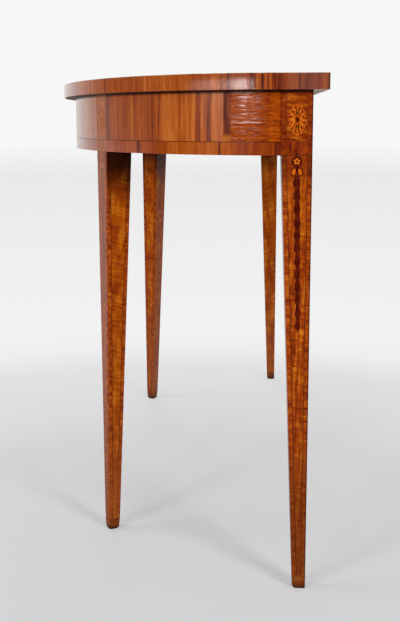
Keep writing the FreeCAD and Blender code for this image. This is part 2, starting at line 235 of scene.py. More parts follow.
# Screws
# Four hand-filed iron screws in chiselled pockets in the rails. They are driven up into the boards and
# hold the top to the carcase.

# Filed iron under old oxide: nearly black, with a dull sheen and a trace of rust. The layers that draw a
# wood's grain draw its mottling.
iron_stops = [(0.0, "#1b1715"), (0.6, "#2e2825"), (1.0, "#4d3a2e")]
iron = wood("oxidised_iron", "Object", grain=(0.0015, 0.0015, 0.0015), figure=(0.004, 0.004, 0.004),
            stops=iron_stops, roughness=(0.45, 0.65))
iron.node_tree.nodes["Principled BSDF"].inputs["Metallic"].default_value = 0.7
dress(iron, "top_screws")


# Frieze
# Saw-cut veneer bent round the bow between the leg heads: a broad panel over a dark line
# and a crossband along the lower edge. Each zone ends against the flat leg heads.

veneer = 0.0012
leg_head = 0.048
front_leg_x = 0.438
end_leaf = 0.0798
dark_strip = 0.0126
bow_steps = 128
frieze_low, frieze_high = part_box("frieze_veneer")
bow_half = frieze_high.x
bow_depth = frieze_high.y - frieze_low.y
bow_centre = Vector((0, frieze_high.y, 0))
band_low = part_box("frieze_crossband")[0].z
line_low, line_high = (corner.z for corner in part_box("frieze_stringing"))
flip = Matrix.Scale(-1, 4, (1, 0, 0))
low_band, low_line, front_panel, end_strips, end_leaves, dark_strips = range(6)


def bow_point(phi):
    """Point on the frieze's face at an angle from its right end."""
    return bow_centre + Vector((bow_half * math.cos(phi), -bow_depth * math.sin(phi), 0))


def bow_phi(point):
    return math.atan2((bow_centre.y - point.y) / bow_depth, point.x / bow_half)


def bow_speed(phi):
    """Length along the frieze for each radian."""
    return math.hypot(bow_half * math.sin(phi), bow_depth * math.cos(phi))


def bow_length(phi):
    """Length along the frieze from its right end, summed over short steps."""
    count = 48
    step = phi / count
    return sum(bow_speed((i + 0.5) * step) for i in range(count)) * step


def bow_at(length):
    """Angle on the bow at a length from its right end."""
    low, high = 0.0, math.pi / 2
    halvings = 40
    for _ in range(halvings):
        middle = (low + high) / 2
        low, high = (middle, high) if bow_length(middle) < length else (low, middle)
    return low


def front_leg_place():
    """Frame of the right front leg: X out of its outer face, Y along the bow, Z up."""
    phi = math.acos(front_leg_x / bow_half)
    chord_depth = (leg_head / 2) ** 2 * bow_half * bow_depth / (2 * bow_speed(phi) ** 3)
    out = Vector((math.cos(phi) / bow_half, -math.sin(phi) / bow_depth, 0)).normalized()
    along = Vector((-out.y, out.x, 0))
    spot = bow_point(phi) - out * chord_depth
    return Matrix(((out.x, along.x, 0, spot.x), (out.y, along.y, 0, spot.y), (0, 0, 1, 0), (0, 0, 0, 1)))


front_place = front_leg_place()


def made_of(kind, geometry):
    """The vertices, edges or faces in what an operator returns."""
    return [g for g in geometry if isinstance(g, kind)]


def half_ellipse(bm, half, depth):
    """Chain of edges round the bow, from the right end to the left."""
    start = bm.verts.new((1, 0, 0))
    bmesh.ops.spin(bm, geom=[start], axis=(0, 0, 1), angle=-math.pi, steps=bow_steps)
    bmesh.ops.scale(bm, vec=(half, depth, 1), verts=bm.verts)
    bmesh.ops.translate(bm, vec=bow_centre, verts=bm.verts)


def raise_wall(bm, edges, heights):
    """Extrudes a chain of edges up or down, one row of faces for each height, and returns the faces."""
    faces = []
    for height in heights:
        made = bmesh.ops.extrude_edge_only(bm, edges=edges)["geom"]
        bmesh.ops.translate(bm, vec=(0, 0, height), verts=made_of(bmesh.types.BMVert, made))
        edges = made_of(bmesh.types.BMEdge, made)
        faces += made_of(bmesh.types.BMFace, made)
    return faces


def cut(bm, spot, normal):
    bmesh.ops.bisect_plane(bm, geom=bm.verts[:] + bm.edges[:] + bm.faces[:], plane_co=spot, plane_no=normal)


def keep_kind(bm, kind):
    """Copy of a mesh with only the faces of one kind."""
    part = bm.copy()
    bmesh.ops.delete(part, geom=[f for f in part.faces if f.material_index != kind], context="FACES")
    for face in part.faces:
        face.material_index = 0
    return part


def thicken(bm, depth):
    """Turns sheets into closed pieces, inwards from their outer faces."""
    bm.normal_update()
    bmesh.ops.solidify(bm, geom=bm.faces[:], thickness=depth)


def piece(name, bm, material, slot, *stands_for):
    """Object of a finished mesh, riding on the table and standing for its CAD nodes."""
    mesh = bpy.data.meshes.new(name)
    bm.to_mesh(mesh)
    bm.free()
    for face in mesh.polygons:
        face.use_smooth = True
    mesh.set_sharp_from_angle(angle=math.radians(35))
    mesh.materials.append(material)
    made = bpy.data.objects.new(name, mesh)
    bpy.context.scene.collection.objects.link(made)
    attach(made, "root")
    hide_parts(*stands_for)


def lay_sheet(sheet, parts, prefix=""):
    """Splits a sheet by the kind of its faces into pieces of veneer."""
    for kind, (name, material, slot, node) in enumerate(parts):
        part = keep_kind(sheet, kind)
        thicken(part, veneer)
        piece(prefix + name, part, material, slot, prefix + node)
    sheet.free()


def frieze_wall():
    """The whole frieze as one sheet, cut at the leg heads and at the end leaves."""
    bm = bmesh.new()
    half_ellipse(bm, bow_half, bow_depth)
    bmesh.ops.translate(bm, vec=(0, 0, band_low), verts=bm.verts)
    raise_wall(bm, bm.edges[:], [line_low - band_low, line_high - line_low, frieze_high.z - line_high])
    leaf_phi, strip_phi = bow_at(end_leaf), bow_at(end_leaf + dark_strip)
    for side in (Matrix.Identity(4), flip):
        for phi in (leaf_phi, strip_phi):
            across = Vector((bow_half * math.sin(phi), bow_depth * math.cos(phi), 0))
            cut(bm, side @ bow_point(phi), side @ across)
        for edge in (-leg_head / 2, leg_head / 2):
            head = side @ front_place
            cut(bm, head @ Vector((0, edge, 0)), head.to_3x3() @ Vector((0, 1, 0)))
    bmesh.ops.recalc_face_normals(bm, faces=bm.faces)
    first = bm.faces[:][0]
    if first.normal.dot(first.calc_center_median() - bow_centre) < 0:
        bmesh.ops.reverse_faces(bm, faces=bm.faces)
    chart = bm.loops.layers.uv.new("UVMap")
    heads = []
    for face in bm.faces:
        centre = face.calc_center_median()
        left = centre.x < 0
        centre.x = abs(centre.x)
        local = front_place.inverted() @ centre
        if abs(local.y) < leg_head / 2:
            heads.append(face)
        phi = bow_phi(centre)
        end_zone = end_leaves if phi < leaf_phi else dark_strips if phi < strip_phi else end_strips
        zone = front_panel if local.y < 0 else end_zone
        face.material_index = low_band if centre.z < line_low else low_line if centre.z < line_high else zone
        for loop in face.loops:
            point = loop.vert.co.copy()
            point.x *= -1 if left else 1
            loop[chart].uv = (bow_length(bow_phi(point)) + (left_shift if left else 0), point.z)
    bmesh.ops.delete(bm, geom=heads, context="FACES")
    return bm


# Satinwood laid in upright leaves, plainer at the front, a tulipwood crossband of shorter leaves and a
# line of stained wood, all under old polish that mirrors the lamps.
satinwood_stops = [(0.15, "#531a03"), (0.38, "#843607"), (0.6, "#a04d0e"), (0.85, "#c27430")]
plain_stops = [(0.15, "#6e2805"), (0.5, "#98480f"), (0.85, "#b4631f")]
front_wood = wood("satinwood_leaves", "UV", grain=(0.0028, 0.06, 1), figure=(0.014, 0.3, 1),
                  stops=plain_stops, figure_share=0.6, roughness=(0.25, 0.35), leaves=(0.12, 0.3),
                  polish=1.0)
strip_streaks = [(0.0, 210), (0.1095, 65), (0.1125, 125), (0.115, 60), (0.118, 205), (0.131, 55),
                 (0.135, 120), (0.1375, 65), (0.1405, 215), (0.158, 190), (0.172, 220), (0.208, 150),
                 (0.2155, 175), (0.227, 90), (0.2305, 165), (0.285, 225), (0.288, 160), (0.31, 180),
                 (0.362, 120), (0.3735, 10)]
strip_wood = wood("streaked_satinwood", "UV", grain=(0.0026, 0.05, 1), figure=(0.007, 0.2, 1),
                  stops=satinwood_stops, roughness=(0.25, 0.35), streaks=strip_streaks, polish=0.8,
                  polish_roughness=0.27)
dark_stops = [(0.0, "#340d02"), (0.5, "#60240a"), (1.0, "#864220")]
dark_wood = wood("dark_satinwood_strip", "UV", grain=(0.002, 0.04, 1), figure=(0.005, 0.2, 1),
                 stops=dark_stops, roughness=(0.35, 0.5), polish=0.2, polish_roughness=0.3)
band_stops = [(0.15, "#3c0f02"), (0.38, "#762804"), (0.6, "#964209"), (0.85, "#b8651f")]
band_streaks = [(0.0, 90), (0.008, 150), (0.018, 195), (0.0947, 30), (0.1006, 215), (0.2, 200), (0.263, 30),
                (0.27, 190)]
band_wood = wood("tulipwood_band", "UV", grain=(0.0024, 0.05, 1), figure=(0.01, 0.2, 1), stops=band_stops,
                 roughness=(0.25, 0.38), leaves=(0.045, 0.3), streaks=band_streaks, polish=0.95,
                 polish_roughness=0.13)
line_stops = [(0.0, "#2a0d04"), (0.6, "#451a08"), (1.0, "#6b3012")]
line_wood = wood("stained_line", "UV", grain=(0.004, 0.001, 1), figure=(0.03, 0.01, 1), stops=line_stops,
                 polish=0.4)

# The leaf next to each back leg lies on its side. It has come loose at its inner end, so it bulges and
# ripples, and an old split runs along it. The ripples and the lip of the split catch the light.
leaf_stops = [(0.12, "#551702"), (0.36, "#8a3503"), (0.58, "#a85007"), (0.85, "#c87c22")]
leaf_streaks = [(0.0, 0), (0.0022, 150), (0.018, 120), (0.04, 145), (0.06, 135)]
leaf_wood = wood("rippled_satinwood_leaf", "UV", grain=(0.03, 0.0017, 1), figure=(0.014, 0.0034, 1),
                 stops=leaf_stops, figure_share=0.55, relief=0.00007, roughness=(0.25, 0.35),
                 streaks=leaf_streaks, polish=1.0, polish_roughness=0.12)
bulge_top, bulge_end, bulge_height = 0.014, 0.051, 0.0014
ripple_size, ripple_height = (0.022, 0.0052, 1), 0.00034
split_z, lip_half, lip_height = 0.7622, 0.003, 0.00024
tree = leaf_wood.node_tree
bsdf = tree.nodes["Principled BSDF"]
place = add(tree, "TexCoord").outputs["UV"]
along, height, _ = add(tree, "SeparateXYZ", {0: place}).outputs
along = add(tree, "Math", {0: along, 1: left_shift}, operation="FLOORED_MODULO")
bulge = add(tree, "MapRange", {"Value": along, "From Min": bulge_top, "From Max": bulge_end, "To Min": 1.0,
                               "To Max": 0.0}, interpolation_type="SMOOTHSTEP")
spot = add(tree, "Mapping", {"Vector": place, "Scale": ripple_size}, vector_type="TEXTURE")
ripple = add(tree, "TexNoise", {"Vector": spot, "Scale": 1.0, "Detail": 1.0})
apart = add(tree, "Math", {0: height, 1: split_z}, operation="SUBTRACT")
apart = add(tree, "Math", {0: apart}, operation="ABSOLUTE")
lip = add(tree, "MapRange", {"Value": apart, "From Max": lip_half, "To Min": 1.0, "To Max": 0.0})
normal = bsdf.inputs["Normal"].links[0].from_socket
for shape, distance in ((bulge, bulge_height), (ripple, ripple_height), (lip, lip_height)):
    normal = add(tree, "Bump", {"Height": shape, "Distance": distance, "Normal": normal})
plug(tree, bsdf, {"Normal": normal, "Coat Normal": normal})

# The polish on the ripples has gone dull, save in thin streaks above the split and on its lip.
gloss_size, least_gloss, low_gloss, lip_gloss = (0.016, 0.003, 1), 0.15, 0.15, 2.5
gloss_low, gloss_high = split_z - 0.03, split_z + 0.005
spot = add(tree, "Mapping", {"Vector": place, "Scale": gloss_size}, vector_type="TEXTURE")
noise = add(tree, "TexNoise", {"Vector": spot, "Scale": 1.0, "Detail": 2.0})
bright = add(tree, "MapRange", {"Value": noise, "From Min": 0.47, "From Max": 0.62})
bright = add(tree, "Math", {0: bright, 1: least_gloss}, operation="MAXIMUM")
fresh = add(tree, "MapRange", {"Value": height, "From Min": gloss_low, "From Max": gloss_high,
                               "To Min": low_gloss})
bright = add(tree, "Math", {0: bright, 1: fresh}, operation="MULTIPLY")
sharp_lip = add(tree, "Math", {0: lip, 1: lip_gloss}, operation="MULTIPLY", use_clamp=True)
kept = add(tree, "Math", {0: bright, 1: sharp_lip}, operation="MAXIMUM")
plug(tree, bsdf, {"Coat Weight": kept})

# The dark strip stops short of the line, where an old repair is paler.
repair_top, repair_full = 0.747, 0.741
tint_between(dark_wood, repair_top, repair_full, "#a4570f", most=0.85)

# The corner under the top is darkened and dulled: painted shade where the top's overhang shades the frieze,
# and old dirt.
dirt_and_shade, dirt_and_shade_start, dirt_and_shade_full = "#321006", frieze_high.z - 0.006, frieze_high.z - 0.002
for material in (front_wood, strip_wood, leaf_wood, dark_wood):
    tint_between(material, dirt_and_shade_start, dirt_and_shade_full, dirt_and_shade, most=0.9, dull=True)

lay_sheet(frieze_wall(), [("frieze_lower_band", band_wood, "crossband_veneer", "frieze_crossband"),
                          ("frieze_line", line_wood, "dark_line", "frieze_stringing"),
                          ("frieze_front_panel", front_wood, "satinwood_veneer", "frieze_veneer"),
                          ("frieze_end_panels", strip_wood, "satinwood_veneer", "frieze_veneer"),
                          ("frieze_end_leaves", leaf_wood, "satinwood_veneer", "frieze_veneer"),
                          ("frieze_dark_strips", dark_wood, "satinwood_veneer", "frieze_veneer")])


# Leg veneers
# Saw-cut veneer on each tapered leg: golden satinwood panels between dark lines and narrow crossbands
# on three faces, a plain inner face, and a dark cuff at the foot. The arrises and the feet are worn round.

leg_foot = 0.021
knee = band_low
head_top = frieze_high.z
leg_band = 0.007
leg_line = 0.001
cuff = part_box("right_back_leg_cuff")[1].z
arris = 0.0015
foot_round = 0.0042
foot_corner = 0.0065
arris_angle = math.radians(60)

# A face counts as facing along an axis when its normal has this share on it, and as flat at the second.
facing, flat = 0.7, 0.999

# Each leg, its inner sides and the run across it take their grain from another place on the chart.
leg_shift, side_shift, cross_shift = 1.3, 0.2, 0.37
panels, side_panels, bands, side_bands, lines, cuffs, head_panels, head_bands, bare = range(9)


def leg_width(z):
    return leg_foot + (leg_head - leg_foot) * min(z / knee, 1)


def leg_low(z, plumb_rear):
    """Y of a leg's front edge in its own frame."""
    return leg_head / 2 - leg_width(z) if plumb_rear else -leg_width(z) / 2


def tapered_leg(plumb_rear):
    """Leg below the frieze, cut along its bands and lines, each face marked with its kind."""
    bm = bmesh.new()
    bmesh.ops.create_cube(bm, size=1)
    for vert in bm.verts:
        z = knee if vert.co.z > 0 else 0
        width = leg_width(z)
        vert.co = ((vert.co.x - 0.5) * width, leg_low(z, plumb_rear) + (vert.co.y + 0.5) * width, z)
    taper = leg_head - leg_foot
    low_foot = leg_low(0, plumb_rear)
    low_lean = leg_low(knee, plumb_rear) - low_foot
    for inset in (leg_band, leg_band + leg_line):
        cut(bm, (0, low_foot + inset, 0), (0, knee, -low_lean))
        cut(bm, (0, low_foot + leg_foot - inset, 0), (0, knee, -low_lean - taper))
        cut(bm, (-inset, 0, 0), (1, 0, 0))
        cut(bm, (inset - leg_foot, 0, 0), (knee, 0, taper))
    cut(bm, (0, 0, cuff), (0, 0, 1))
    for face in bm.faces:
        face.material_index = leg_kind(face, plumb_rear)
    return bm


def leg_kind(face, plumb_rear):
    centre = face.calc_center_median()
    normal = face.normal
    width = leg_width(centre.z)
    if abs(normal.z) > facing or (plumb_rear and normal.y > facing):
        return bare
    if centre.z < cuff:
        return cuffs
    if normal.x < -facing:
        return side_panels
    outer = normal.x > facing
    across = centre.y - leg_low(centre.z, plumb_rear) if outer else -centre.x
    edge = min(across, width - across)
    if edge < leg_band:
        return bands if outer else side_bands
    if edge < leg_band + leg_line:
        return lines
    return panels if outer else side_panels


def head_face(bm):
    """Flat outer face of a leg head, with its crossbands and lines in line with the frieze's."""
    half = leg_head / 2
    corners = [(0, -half, knee), (0, half, knee), (0, half, head_top), (0, -half, head_top)]
    face = bm.faces.new([bm.verts.new(corner) for corner in corners])
    sheet = [face] + list(face.edges) + list(face.verts)
    planes = [((0, 0, z), (0, 0, 1)) for z in (line_low, line_high)]
    for side in (-1, 1):
        planes += [((0, side * (half - inset), 0), (0, 1, 0)) for inset in (leg_band, leg_band + leg_line)]
    for spot, normal in planes:
        sheet = bmesh.ops.bisect_plane(bm, geom=sheet, plane_co=spot, plane_no=normal)["geom"]
    for face in made_of(bmesh.types.BMFace, sheet):
        centre = face.calc_center_median()
        edge = half - abs(centre.y)
        kind = head_bands if edge < leg_band else lines if edge < leg_band + leg_line else head_panels
        face.material_index = head_bands if centre.z < line_low else lines if centre.z < line_high else kind


def round_foot(bm, plumb_rear):
    """Wears the corners of the foot round, more towards the floor, save those against the wall."""
    for vert in bm.verts:
        z = vert.co.z
        if z < cuff:
            half = leg_width(z) / 2
            centre = Vector((-half, leg_low(z, plumb_rear) + half, z))
            lift = max(foot_round - z, 0)
            half -= foot_round - math.sqrt(foot_round ** 2 - lift ** 2)
            radius = foot_corner * (1 - z / cuff)
            away = vert.co - centre
            past = Vector((max(abs(away.x) - half + radius, 0), max(abs(away.y) - half + radius, 0)))
            against_wall = plumb_rear and away.y > 0
            if past.length > radius and not against_wall:
                past -= past.normalized() * radius
                vert.co.x -= math.copysign(past.x, away.x)
                vert.co.y -= math.copysign(past.y, away.y)


def chart_leg(bm, shift):
    """Real-size chart: along the leg, then across the face."""
    chart = bm.loops.layers.uv.new("UVMap")
    for face in bm.faces:
        on_side = abs(face.normal.y) > abs(face.normal.x)
        for loop in face.loops:
            point = loop.vert.co
            across = point.x + side_shift if on_side else point.y
            along = point.z
            if face.material_index == head_bands and face.calc_center_median().z < line_low:
                across, along = along, across
            loop[chart].uv = (along + shift, across + shift * cross_shift)


def dressed_leg(plumb_rear, place, mirrored, shift):
    """Veneers of one leg in their place, with worn arrises and foot, and with the head's flat face."""
    bm = tapered_leg(plumb_rear)
    soles = [f for f in bm.faces if f.normal.z < -facing]
    for face in soles:
        face.material_index = cuffs
    rims = {e for f in soles for e in f.edges if any(g.normal.z > -facing for g in e.link_faces)}
    bmesh.ops.bevel(bm, geom=list(rims), offset=foot_round, segments=4, profile=0.5, affect="EDGES",
                    material=-1)
    hidden = [f for f in bm.faces if f.material_index == bare or f.normal.z < -flat]
    bmesh.ops.delete(bm, geom=hidden, context="FACES")
    sharp = [e for e in bm.edges if len(e.link_faces) == 2 and e.calc_face_angle() > arris_angle]
    bmesh.ops.bevel(bm, geom=sharp, offset=arris, segments=3, profile=0.5, affect="EDGES", material=-1)
    round_foot(bm, plumb_rear)
    head_face(bm)
    chart_leg(bm, shift)
    bmesh.ops.transform(bm, matrix=place, verts=bm.verts)
    if mirrored:
        bmesh.ops.transform(bm, matrix=flip, verts=bm.verts)
        bmesh.ops.reverse_faces(bm, faces=bm.faces)
    return bm


# Satinwood with ripple figure across the leg, polished to a golden orange. The outer panels are brightest
# a hand below the head. Painted shade darkens them just under the head, and the inner sides towards the
# frieze.
golden, neck_painted_shade = (knee - 0.16, knee - 0.07), (knee - 0.045, knee - 0.02)
side_painted_shade, side_band_painted_shade = (knee - 0.1, knee - 0.025), (knee - 0.13, knee - 0.03)
band_painted_shade, line_fade = (knee - 0.06, knee - 0.005), (knee, knee + 0.002)
panel_stops = [(0.12, "#5a1a02"), (0.36, "#802d03"), (0.6, "#994105"), (0.95, "#c47416")]
panel_wood = wood("rippled_satinwood", "UV", grain=(0.06, 0.0022, 1), figure=(0.0065, 0.03, 1),
                  stops=panel_stops, figure_share=0.62, slant=0.2, cloud=(0.05, 0.007, 1), polish=0.4)
tint_between(panel_wood, *golden, "#b8600f", most=0.2)
# Painted shade: the outer panels darken just under the head.
tint_between(panel_wood, *neck_painted_shade, "#6a1c04", most=0.6)
# The inner sides have their own, slightly lighter stops: painted light that makes up for the lamps reaching
# them less.
side_stops = [(0.0, "#5a1802"), (0.3, "#8a3603"), (0.6, "#a44d05"), (1.0, "#c8791a")]
side_wood = wood("side_satinwood_painted_shade", "UV", grain=(0.1, 0.001, 1), figure=(0.005, 0.05, 1), stops=side_stops,
                 figure_share=0.7, slant=-0.35, cloud=(0.06, 0.02, 1), polish=0.45)
# Painted shade: the inner sides go nearly black towards the frieze, which shades them.
tint_between(side_wood, *side_painted_shade, "#220601", most=0.92)
head_stops = [(0.0, "#421001"), (0.3, "#702503"), (0.6, "#8a3804"), (1.0, "#b0630f")]
head_wood = wood("head_satinwood", "UV", grain=(0.05, 0.0012, 1), figure=(0.006, 0.03, 1), stops=head_stops,
                 figure_share=0.7, slant=0.1, polish=0.65)

# Kingwood bands, red-brown with short grain across the band, lines of stained wood and plain dark cuffs.
leg_band_stops = [(0.0, "#300a01"), (0.25, "#702404"), (0.6, "#9a4006"), (1.0, "#bd6416")]
head_band_stops = [(0.0, "#2a0801"), (0.3, "#651e03"), (0.6, "#7d2c04"), (1.0, "#a04a0e")]
band_kinds = (("kingwood_band", leg_band_stops, 0.45), ("side_kingwood_band_painted_shade", leg_band_stops, 0.45),
              ("head_kingwood_band", head_band_stops, 0.65))
leg_band_wood, side_band_wood, head_band_wood = (
    wood(name, "UV", grain=(0.0016, 0.03, 1), figure=(0.009, 0.02, 1), stops=stops, figure_share=0.6,
         polish=polish)
    for name, stops, polish in band_kinds)
# Painted shade: the outer bands darken under the head, and the inner bands towards the frieze.
tint_between(leg_band_wood, *band_painted_shade, "#3a0d02", most=0.65)
tint_between(side_band_wood, *side_band_painted_shade, "#1e0501", most=0.92)
leg_line_wood = wood("stained_leg_line", "UV", grain=(0.004, 0.001, 1), figure=(0.03, 0.01, 1),
                     stops=line_stops, polish=0.45)
tint_between(leg_line_wood, *line_fade, "#702606", most=0.8)
# The leg heads take the same painted shade and dirt under the top.
for material in (head_wood, head_band_wood):
    tint_between(material, dirt_and_shade_start, dirt_and_shade_full, dirt_and_shade, most=0.9, dull=True)
cuff_stops = [(0.0, "#4a1a08"), (0.4, "#753410"), (1.0, "#96571f")]
cuff_wood = wood("dark_cuff", "UV", grain=(0.002, 0.02, 1), figure=(0.01, 0.03, 1), stops=cuff_stops,
                 roughness=(0.35, 0.5), polish=0.3)
# The foot darkens over its lowest centimetre: a dirty end, and painted contact shade where it stands on the
# floor.
sole_dirt_and_shade = (0.01, 0.003)
tint_between(cuff_wood, *sole_dirt_and_shade, "#1c0a04", most=0.88)

# The lower legs turn a paler, duller brown towards the floor, and painted shade darkens the right back leg
# low down.
paler_low, right_back_painted_shade_x, right_back_painted_shade_z = (0.3, 0.03), (0.5, 0.6), (0.27, 0.17)
for material in (panel_wood, side_wood, leg_band_wood, side_band_wood):
    tint_between(material, *paler_low, "#96501c", most=0.35)
    tint_between(material, *right_back_painted_shade_x, "#4a1603", most=0.4, axis=0, below=right_back_painted_shade_z)

# Dirt lines the rear arris of the back legs, and a fine dark joint parts each head from its leg.
rear_dirt, head_joint = (leg_back - 0.003, leg_back - 0.0008), (knee + 0.0014, knee + 0.0005)
for material in (leg_band_wood, head_band_wood, cuff_wood):
    tint_between(material, *rear_dirt, "#2c0f06", most=0.7, axis=1)
tint_between(head_band_wood, *head_joint, "#2a0a03", most=0.75)

# The outer faces of the front pair, and the inlays there, are tinted towards a flat pinkish brown that hides
# their contrast: a painted sheen.
front_sheen_start, front_sheen_full = 0.05, 0.0
for material, colour, most in ((panel_wood, "#8e4614", 0.5), (head_wood, "#b06a2c", 0.4),
                               (head_band_wood, "#a85c26", 0.5)):
    tint_between(material, front_sheen_start, front_sheen_full, colour, most=most, axis=1)

back_place = Matrix.Translation((bow_half, leg_back - leg_head / 2, 0))
leg_parts = [("panels", panel_wood, "satinwood_veneer", "veneers"),
             ("side_panels", side_wood, "satinwood_veneer", "veneers"),
             ("bands", leg_band_wood, "crossband_veneer", "crossbands"),
             ("side_bands", side_band_wood, "crossband_veneer", "crossbands"),
             ("lines", leg_line_wood, "dark_line", "stringing"),
             ("cuff_faces", cuff_wood, "crossband_veneer", "cuff"),
             ("head_panel", head_wood, "satinwood_veneer", "veneers"),
             ("head_bands", head_band_wood, "crossband_veneer", "crossbands")]
for count, leg in enumerate(leg_names):
    plumb_rear = "back" in leg
    place = back_place if plumb_rear else front_place
    lay_sheet(dressed_leg(plumb_rear, place, "left" in leg, leg_shift * count), leg_parts, f"{leg}_")


# Inlays
# An oval patera on each leg head, and below the frieze a rosette over two drops and twelve husks.
# Each is sawn from contrasting veneer, shaded in hot sand, let into the panel and polished with it.

proud = 0.0001
patera_z = 0.7677
patera_size = (0.0272, 0.0492)
petals = 12
star_arms = 6
star_arm = (0.005, 0.0021)
star_reach = (0.0018, 0.0026)
rosette_z = 0.704
rosette_disc = 0.0172
rosette_petals = 5
rosette_petal = (0.0057, 0.003)
rosette_reach = 0.0026
drop_z = 0.688
drop_apart = 0.0048
drop_size = (0.0156, 0.0112)
drop_heart = (0.0107, 0.0068)
drop_lean = 0.2
knot_size, knot_rise = (0.011, 0.006), 0.005
husk_top = 0.682
husk_pitch = 0.0205
husk_length = 0.0197
husk_count = 12
husk_wide, husk_narrow = 0.011, 0.0076
husk_lean = 0.12

# Shares of a husk's length and width: its body, its side leaves, their place, and the bud above it.
husk_body, husk_leaf, leaf_place, husk_bud = (1.2, 0.66), (0.9, 0.54), (0.45, 0.25), (0.7, 0.7)
pale_kind, dark_kind, ground_kind = range(3)


def leaf_plate(bm, spot, length, width, turn, pinch, kind, layer=1):
    """Flat leaf in the plane of a leg's outer face, narrowed towards its upper end by a share.

    Where leaves overlap, the one on the higher layer stands a little prouder, so that it shows whole.
    """
    made = bmesh.ops.create_circle(bm, cap_ends=True, radius=0.5, segments=12)["verts"]
    for vert in made:
        vert.co.x *= width * (1 - pinch * (vert.co.y + 0.5))
        vert.co.y *= length
    stand = Matrix(((0, 0, 1, proud * layer), (1, 0, 0, spot[0]), (0, 1, 0, spot[1]), (0, 0, 0, 1)))
    bmesh.ops.transform(bm, matrix=stand @ Matrix.Rotation(turn, 4, "Z"), verts=made)
    for face in {face for vert in made for face in vert.link_faces}:
        face.material_index = kind


def patera(bm):
    """Oval of petals with scorched gaps, thin lines towards a dark star, and a scalloped rim.

    Each leaf is given by its reach and length as shares of the oval, its width, pinch, lean and kind.
    """
    wide, high = patera_size
    leaf_plate(bm, (0, patera_z), high, wide, 0, 0, ground_kind)
    petal = [(0.26, 0.28, 0.005, -0.35, 0, pale_kind), (0.455, 0.06, 0.0034, 0, 0, pale_kind)]
    gaps = [[(0.36, 0.15, 0.0019, -0.3, 0.35, dark_kind), (0.18, 0.18, 0.0008, 0, 0, dark_kind)],
            [(0.34, 0.1, 0.0023, -0.3, -0.4, dark_kind), (0.45, 0.06, 0.003, 0, 0, pale_kind)]]
    for i in range(2 * petals):
        around = math.pi * i / petals
        across, up = math.sin(around) * wide, math.cos(around) * high
        for reach, length, width, pinch, lean, kind in gaps[i // 2 % 2] if i % 2 else petal:
            spot = (-across * reach, patera_z + up * reach)
            layer = 2.2 if kind == dark_kind else 2
            turn = math.atan2(across, up) + lean
            leaf_plate(bm, spot, math.hypot(across, up) * length, width, turn, pinch, kind, layer)
    for i in range(star_arms):
        turn = math.tau * (i + 0.5) / star_arms
        spot = (-math.sin(turn) * star_reach[0], patera_z + math.cos(turn) * star_reach[1])
        leaf_plate(bm, spot, *star_arm, turn, 0.3, dark_kind, 2.5)


def husk_chain(bm, middle):
    """Rosette, drops and husks down the middle line of a leg."""
    leaf_plate(bm, (middle(rosette_z), rosette_z), rosette_disc, rosette_disc, 0, 0, dark_kind)
    for i in range(rosette_petals):
        turn = math.tau * i / rosette_petals
        across, up = -math.sin(turn) * rosette_reach, math.cos(turn) * rosette_reach
        spot = (middle(rosette_z) + across, rosette_z + up)
        leaf_plate(bm, spot, *rosette_petal, turn, -0.4, pale_kind, 2)
    for side in (-1, 1):
        spot = (middle(drop_z) + side * drop_apart, drop_z)
        leaf_plate(bm, spot, *drop_size, side * drop_lean, 0.25, dark_kind, 1.2 + 0.2 * side)
        leaf_plate(bm, spot, *drop_heart, side * drop_lean, 0.3, pale_kind, 2)
    leaf_plate(bm, (middle(drop_z), drop_z + knot_rise), *knot_size, 0, 0, dark_kind, 1.8)
    for i in range(husk_count):
        top = husk_top - i * husk_pitch
        width = husk_wide + (husk_narrow - husk_wide) * i / (husk_count - 1)
        spot = (middle(top), top - husk_length / 2)
        leaf_plate(bm, spot, husk_length * husk_body[0], width * husk_body[1], 0, 0.1, dark_kind, 1.4)
        for side in (-1, 1):
            spot = (middle(top) + side * width * leaf_place[1], top - husk_length * leaf_place[0])
            leaf_plate(bm, spot, husk_length * husk_leaf[0], width * husk_leaf[1], side * husk_lean, 0.25,
                       dark_kind, 1 + 0.2 * side)
        if i:
            spot = (middle(top), top)
            leaf_plate(bm, spot, husk_length * husk_bud[0], width * husk_bud[1], 0, 0, dark_kind, 1.6)


def back_middle(z):
    return (leg_head - leg_width(z)) / 2


def front_middle(z):
    return 0.0


def inlay_set(kind):
    """One kind of inlay on all four legs."""
    bm = bmesh.new()
    for place, middle in ((back_place, back_middle), (front_place, front_middle)):
        leg_inlays = bmesh.new()
        patera(leg_inlays)
        husk_chain(leg_inlays, middle)
        for mirrored in (False, True):
            copy = keep_kind(leg_inlays, kind)
            bmesh.ops.transform(copy, matrix=flip @ place if mirrored else place, verts=copy.verts)
            if mirrored:
                bmesh.ops.reverse_faces(copy, faces=copy.faces)
            mesh = bpy.data.meshes.new("inlay")
            copy.to_mesh(mesh)
            copy.free()
            bm.from_mesh(mesh)
            bpy.data.meshes.remove(mesh)
        leg_inlays.free()
    thicken(bm, veneer)
    return bm


# Pale boxwood, an orange ground and dark, sand-scorched wood, all stained by the polish. Their grain is
# finer than the panels', and drawn just coarse enough to show.
box_stops = [(0.0, "#943a04"), (0.5, "#bc5a0c"), (1.0, "#d6791b")]
ground_stops = [(0.0, "#722702"), (0.5, "#943d05"), (1.0, "#b0540c")]
scorched_stops = [(0.0, "#2a0601"), (0.5, "#4a0f02"), (1.0, "#6a2005")]
inlay_kinds = (("boxwood_inlay", (0.01, 0.01, 0.01), box_stops),
               ("patera_ground", (0.008, 0.008, 0.01), ground_stops),
               ("scorched_inlay", (0.008, 0.008, 0.012), scorched_stops))
boxwood, ground, scorched = (
    wood(name, "Object", grain=(0.0015, 0.0015, 0.006), figure=figure, stops=stops, polish=0.5)
    for name, figure, stops in inlay_kinds)
